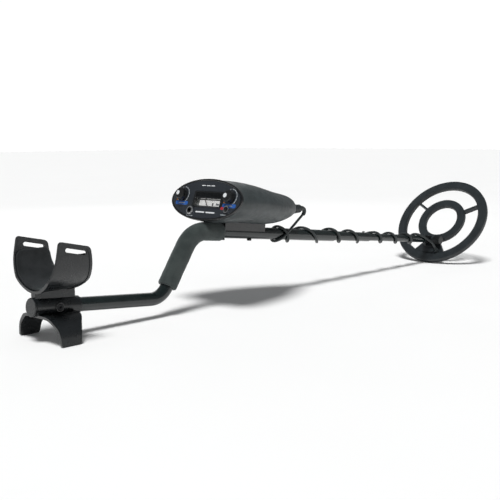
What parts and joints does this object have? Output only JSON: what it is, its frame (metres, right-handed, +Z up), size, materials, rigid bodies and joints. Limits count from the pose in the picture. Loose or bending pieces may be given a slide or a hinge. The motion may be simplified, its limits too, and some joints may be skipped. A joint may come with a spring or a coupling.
{
  "type": "metal detector",
  "caption": "Handheld metal detector with a bent stem, armrest, foam grip, teardrop control housing with a meter, and an open round coil that tilts.",
  "frame": {"origin": "on the floor under the middle of the whole length, where it rests on the armrest's two feet and the coil's edge", "axes": "+X from the armrest towards the coil, +Y to the user's left, +Z up"},
  "size_m": [1.0791, 0.2032, 0.2023],
  "materials": {
    "stem_enamel": "gloss",
    "armrest_plastic": "satin",
    "pad_foam": "fine grain",
    "grip_foam": "matte foam",
    "housing_plastic": "fine texture",
    "rim_plastic": "gloss",
    "panel_face": "satin",
    "knob_plastic": "satin",
    "meter_face": "matte print",
    "meter_glass": "clear",
    "needle_paint": "matte",
    "steel": "brushed",
    "chrome": "polished",
    "black_steel": "black oxide",
    "speaker_paper": "paper cone",
    "board": "solder mask",
    "battery_wrap": "plain wrap",
    "coil_plastic": "light texture",
    "copper": "enamelled wire",
    "cable_sheath": "satin",
    "tip_plastic": "satin",
    "washer_rubber": "matte",
    "button_steel": "polished"
  },
  "bodies": {
    "upper_stem": {"s_rod": "stem_enamel", "foam_grip": "grip_foam", "armrest": "armrest_plastic", "armrest_pad": "pad_foam", "armrest_bolt": "black_steel", "armrest_nut": "black_steel", "rod_end_cap": "armrest_plastic", "housing_shell": "housing_plastic", "housing_saddle": "rim_plastic", "housing_screws": "black_steel", "housing_nuts": "steel", "panel_rim": "rim_plastic", "front_panel": "panel_face", "display_frame": "rim_plastic", "meter_window": "meter_glass", "meter_body": "knob_plastic", "meter_dial": "meter_face", "speaker": "speaker_paper", "sensitivity_control": "steel", "sensitivity_control_nut": "steel", "mode_control": "steel", "mode_control_nut": "steel", "headphone_jack": "knob_plastic", "jack_nut": "chrome", "test_switch": "knob_plastic", "test_nut": "chrome", "circuit_board": "board", "batteries": "battery_wrap", "battery_clips": "knob_plastic", "cable_collar": "cable_sheath", "strain_relief": "cable_sheath", "coil_lead": "cable_sheath"},
    "meter_needle": {"meter_needle": "needle_paint"},
    "sensitivity_knob": {"sensitivity_knob": "knob_plastic", "sensitivity_shaft": "steel"},
    "mode_knob": {"mode_knob": "knob_plastic", "mode_shaft": "steel"},
    "test_button": {"test_button": "knob_plastic"},
    "battery_door_left": {"battery_door_left": "housing_plastic"},
    "battery_door_right": {"battery_door_right": "housing_plastic"},
    "middle_stem": {"middle_tube": "stem_enamel"},
    "upper_spring_button": {"upper_spring_button": "button_steel"},
    "lower_stem": {"lower_tube": "stem_enamel", "stem_tip": "tip_plastic"},
    "lower_spring_button": {"lower_spring_button": "button_steel"},
    "coil": {"coil_shell": "coil_plastic", "coil_cover": "coil_plastic", "transmit_winding": "copper", "receive_winding": "copper", "cable_gland": "cable_sheath", "hinge_washers": "washer_rubber", "hinge_bolt": "black_steel"},
    "hinge_knob": {"hinge_knob": "tip_plastic"}
  },
  "joints": [
    {"name": "upper_slide", "type": "slide", "parent": "upper_stem", "child": "middle_stem", "axis": [0.9939, 0, -0.1101], "range_m": [0, 0.127], "deforming": ["coil_lead", "upper_spring_button"]},
    {"name": "lower_slide", "type": "slide", "parent": "middle_stem", "child": "lower_stem", "axis": [0.9939, 0, -0.1101], "range_m": [-0.0762, 0], "deforming": ["lower_spring_button"]},
    {"name": "upper_button_press", "type": "slide", "parent": "middle_stem", "child": "upper_spring_button", "axis": [-0.1101, 0, -0.9939], "range_m": [0, 0.0037], "stiffness_N_per_m": 500, "springref_m": -0.002},
    {"name": "lower_button_press", "type": "slide", "parent": "lower_stem", "child": "lower_spring_button", "axis": [-0.1101, 0, -0.9939], "range_m": [0, 0.0037], "stiffness_N_per_m": 500, "springref_m": -0.002},
    {"name": "coil_tilt", "type": "hinge", "parent": "lower_stem", "child": "coil", "pos_m": [0.42712, 0, 0.04873], "axis": [0, 1, 0], "range_deg": [-110, 50]},
    {"name": "hinge_knob_turn", "type": "hinge", "parent": "coil", "child": "hinge_knob", "pos_m": [0.42712, 0, 0.04873], "axis": [0, -1, 0], "range_deg": [0, 720]},
    {"name": "sensitivity_turn", "type": "hinge", "parent": "upper_stem", "child": "sensitivity_knob", "pos_m": [-0.21946, -0.0535, 0.17499], "axis": [-0.9323, 0, 0.3616], "range_deg": [-240, 60]},
    {"name": "mode_turn", "type": "hinge", "parent": "upper_stem", "child": "mode_knob", "pos_m": [-0.21946, 0.0535, 0.17499], "axis": [-0.9323, 0, 0.3616], "range_deg": [-240, 60]},
    {"name": "test_press", "type": "slide", "parent": "upper_stem", "child": "test_button", "axis": [0.9323, 0, -0.3616], "range_m": [0, 0.0015], "stiffness_N_per_m": 400, "springref_m": -0.001},
    {"name": "needle_swing", "type": "hinge", "parent": "upper_stem", "child": "meter_needle", "pos_m": [-0.22796, -0.006, 0.15308], "axis": [-0.9323, 0, 0.3616], "range_deg": [-76, 0], "stiffness_Nm_per_rad": 0.0002, "springref_deg": 5.73},
    {"name": "battery_door_left_pull", "type": "slide", "parent": "upper_stem", "child": "battery_door_left", "axis": [0, 0, -1], "range_m": [0, 0.02]},
    {"name": "battery_door_right_pull", "type": "slide", "parent": "upper_stem", "child": "battery_door_right", "axis": [0, 0, -1], "range_m": [0, 0.02]}
  ]
}
